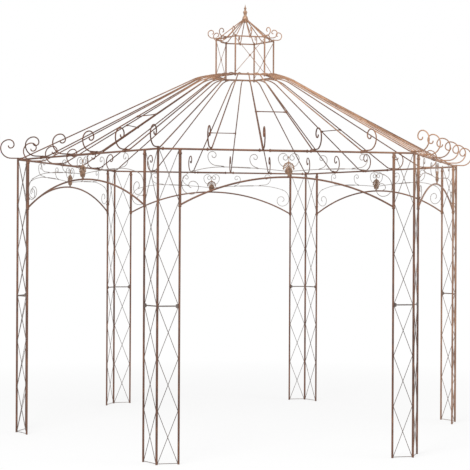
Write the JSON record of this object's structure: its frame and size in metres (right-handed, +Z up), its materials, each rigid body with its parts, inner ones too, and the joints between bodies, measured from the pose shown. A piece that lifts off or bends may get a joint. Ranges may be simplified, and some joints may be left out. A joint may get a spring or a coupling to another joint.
{
  "type": "metal pergola",
  "caption": "Hexagonal wrought-iron garden pavilion with lattice corner posts, arched sides with scrollwork, and a roof of curled rafters under a small lantern and finial.",
  "frame": {"origin": "middle of the hexagonal plan at ground level", "axes": "+X towards one corner post, +Z up along the middle of the lantern and finial"},
  "size_m": [4.306, 3.7682, 3.7942],
  "materials": {
    "tube_iron": "antique rust brown",
    "lattice_iron": "antique rust brown",
    "scroll_iron": "antique rust brown, greyed",
    "roof_iron": "antique rust brown, greyed",
    "cast_trim": "antique copper brown"
  },
  "bodies": {
    "root": {"post_1": "tube_iron", "post_2": "tube_iron", "post_3": "tube_iron", "post_4": "tube_iron", "post_5": "tube_iron", "post_6": "tube_iron", "lattice_1_left": "lattice_iron", "lattice_1_right": "lattice_iron", "lattice_2_left": "lattice_iron", "lattice_2_right": "lattice_iron", "lattice_3_left": "lattice_iron", "lattice_3_right": "lattice_iron", "lattice_4_left": "lattice_iron", "lattice_4_right": "lattice_iron", "lattice_5_left": "lattice_iron", "lattice_5_right": "lattice_iron", "lattice_6_left": "lattice_iron", "lattice_6_right": "lattice_iron", "eave_beams": "tube_iron", "arch_1": "tube_iron", "arch_2": "tube_iron", "arch_3": "tube_iron", "arch_4": "tube_iron", "arch_5": "tube_iron", "arch_6": "tube_iron", "scrollwork_1": "scroll_iron", "scrollwork_2": "scroll_iron", "scrollwork_3": "scroll_iron", "scrollwork_4": "scroll_iron", "scrollwork_5": "scroll_iron", "scrollwork_6": "scroll_iron", "palmettes": "cast_trim", "roof_1": "roof_iron", "roof_2": "roof_iron", "roof_3": "roof_iron", "roof_4": "roof_iron", "roof_5": "roof_iron", "roof_6": "roof_iron", "crown_ring": "tube_iron", "lantern_side_1": "tube_iron", "lantern_side_3": "tube_iron", "lantern_side_5": "tube_iron", "cap_ring": "tube_iron", "cap_rods": "roof_iron", "finial": "cast_trim"}
  },
  "joints": []
}
